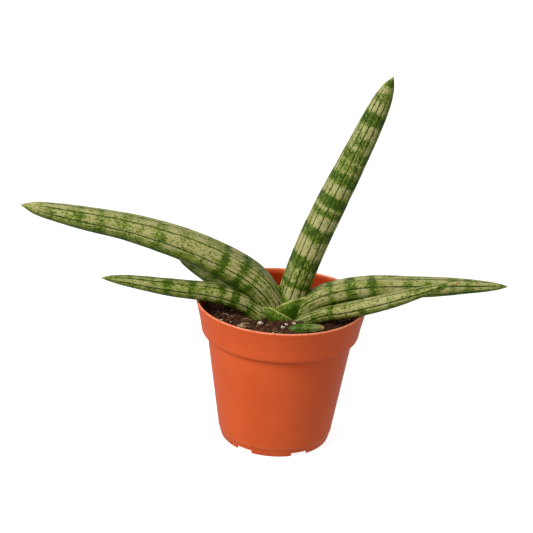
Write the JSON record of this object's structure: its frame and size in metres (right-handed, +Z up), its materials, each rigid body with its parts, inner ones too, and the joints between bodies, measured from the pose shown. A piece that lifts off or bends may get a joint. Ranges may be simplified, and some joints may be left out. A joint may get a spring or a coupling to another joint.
{
  "type": "potted snake plant",
  "caption": "Young cylindrical snake plant with a low fan of thick banded leaves, standing in a round plastic nursery pot of potting mix.",
  "frame": {"origin": "centre of the flat middle of the pot's underside, on the surface that the pot stands on", "axes": "+Z up along the pot's axis, +X towards the right-hand leaves of the fan, -Y towards the open front of the fan with the young leaf"},
  "size_m": [0.294, 0.105, 0.23],
  "materials": {
    "pot_plastic": "terracotta-orange polypropylene, satin",
    "potting_mix": "dark moist peat and bark, matte",
    "rhizome_skin": "ochre, matte",
    "leaf": "waxy grey-green with dark green cross-bands, satin",
    "young_leaf": "waxy dark green, satin",
    "perlite": "white, matte and porous",
    "bark_fibre": "buff fibre, matte"
  },
  "bodies": {
    "root": {"pot": "pot_plastic", "potting_mix": "potting_mix", "rhizome": "rhizome_skin", "root_1": "rhizome_skin", "root_2": "rhizome_skin", "root_3": "rhizome_skin", "root_4": "rhizome_skin", "root_5": "rhizome_skin", "root_6": "rhizome_skin", "leaf_upright": "leaf", "leaf_left_upper": "leaf", "leaf_left_lower": "leaf", "leaf_left_rear": "leaf", "leaf_right_upper": "leaf", "leaf_right_lower": "leaf", "leaf_young": "young_leaf", "perlite_1": "perlite", "perlite_2": "perlite", "perlite_3": "perlite", "perlite_4": "perlite", "perlite_5": "perlite", "perlite_6": "perlite", "bark_curl": "bark_fibre"}
  },
  "joints": []
}
